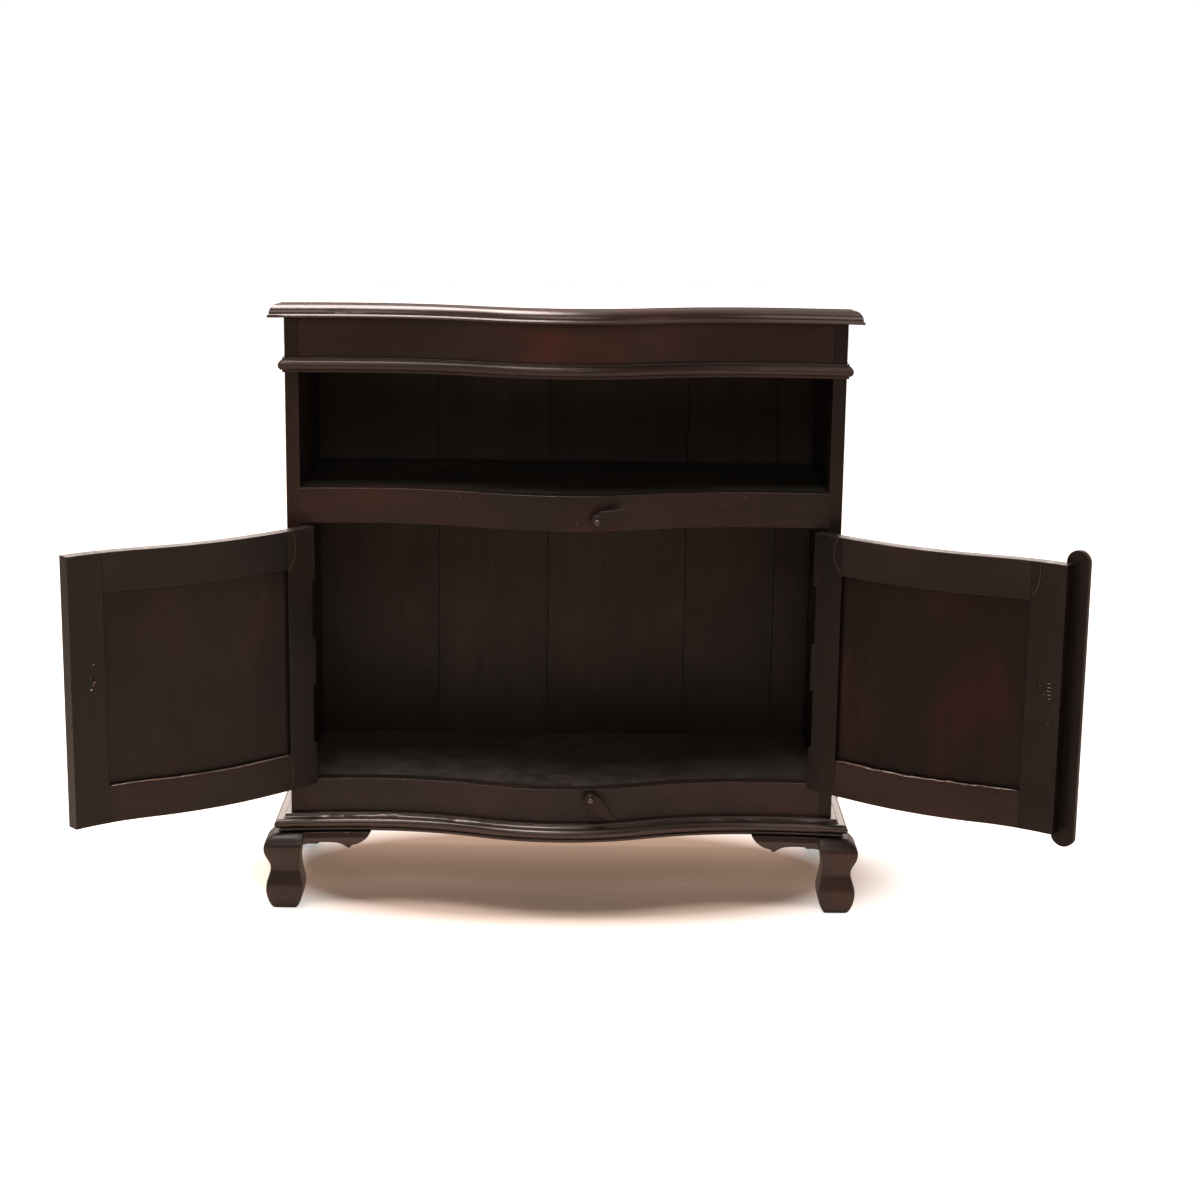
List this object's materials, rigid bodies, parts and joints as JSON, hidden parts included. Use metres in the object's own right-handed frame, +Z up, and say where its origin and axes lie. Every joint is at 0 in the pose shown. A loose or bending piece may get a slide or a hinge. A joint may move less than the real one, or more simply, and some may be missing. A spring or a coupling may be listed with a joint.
{
  "type": "storage cabinet",
  "caption": "Dark stained wooden cabinet with a serpentine front, an open niche over a cupboard with two curved doors, turn buttons and knee-shaped feet.",
  "frame": {"origin": "on the floor under the middle of the case", "axes": "+X to the viewer's right along the case's width, +Y to the back, +Z up"},
  "size_m": [1.458, 0.5596, 0.935],
  "materials": {
    "dark_wood": "dark stain under an uneven satin polish",
    "inner_wood": "dark stain, dull",
    "dark_iron": "dark, dull",
    "old_brass": "tarnished"
  },
  "bodies": {
    "case": {"top_board": "dark_wood", "frieze_rail": "dark_wood", "bead_front": "dark_wood", "bead_left": "dark_wood", "bead_right": "dark_wood", "side_panel_left": "dark_wood", "side_panel_right": "dark_wood", "back_board_1": "inner_wood", "back_board_2": "inner_wood", "back_board_3": "inner_wood", "back_board_4": "inner_wood", "back_board_5": "inner_wood", "niche_shelf": "inner_wood", "middle_rail": "dark_wood", "bottom_board": "inner_wood", "bottom_rail": "dark_wood", "base_moulding_front": "dark_wood", "base_moulding_left": "dark_wood", "base_moulding_right": "dark_wood", "foot_front_left": "dark_wood", "foot_front_right": "dark_wood", "foot_back_left": "dark_wood", "foot_back_right": "dark_wood", "bracket_front_left": "dark_wood", "bracket_front_right": "dark_wood", "bracket_side_front_left": "dark_wood", "bracket_side_front_right": "dark_wood", "bracket_side_back_left": "dark_wood", "bracket_side_back_right": "dark_wood", "left_hinge_case_leaves": "dark_iron", "left_hinge_pins": "dark_iron", "left_hinge_case_screws": "dark_iron", "right_hinge_case_leaves": "dark_iron", "right_hinge_pins": "dark_iron", "right_hinge_case_screws": "dark_iron", "upper_button_screw": "dark_iron", "lower_button_screw": "dark_iron", "keeper_plate": "dark_iron"},
    "left_door": {"left_door_hinge_stile": "dark_wood", "left_door_meeting_stile": "dark_wood", "left_door_top_rail": "dark_wood", "left_door_bottom_rail": "dark_wood", "left_door_panel": "dark_wood", "left_door_knob": "old_brass", "left_hinge_door_leaves": "dark_iron", "left_hinge_door_screws": "dark_iron"},
    "right_door": {"right_door_hinge_stile": "dark_wood", "right_door_meeting_stile": "dark_wood", "right_door_top_rail": "dark_wood", "right_door_bottom_rail": "dark_wood", "right_door_panel": "dark_wood", "right_door_knob": "old_brass", "right_hinge_door_leaves": "dark_iron", "right_hinge_door_screws": "dark_iron", "cover_strip": "dark_wood"},
    "upper_button": {"upper_turn_button": "dark_wood"},
    "lower_button": {"lower_turn_button": "dark_wood"}
  },
  "joints": [
    {"name": "left_door_swing", "type": "hinge", "parent": "case", "child": "left_door", "pos_m": [-0.395, -0.152, 0.4], "axis": [0, 0, 1], "range_deg": [-33, 137]},
    {"name": "right_door_swing", "type": "hinge", "parent": "case", "child": "right_door", "pos_m": [0.395, -0.152, 0.4], "axis": [0, 0, -1], "range_deg": [-28.6, 141.4]},
    {"name": "upper_button_turn", "type": "hinge", "parent": "case", "child": "upper_button", "pos_m": [0.049, -0.2, 0.6195], "axis": [0, -1, 0], "range_deg": [-196, 164]},
    {"name": "lower_button_turn", "type": "hinge", "parent": "case", "child": "lower_button", "pos_m": [0.044, -0.2, 0.187], "axis": [0, -1, 0], "range_deg": [-12, 218]}
  ]
}
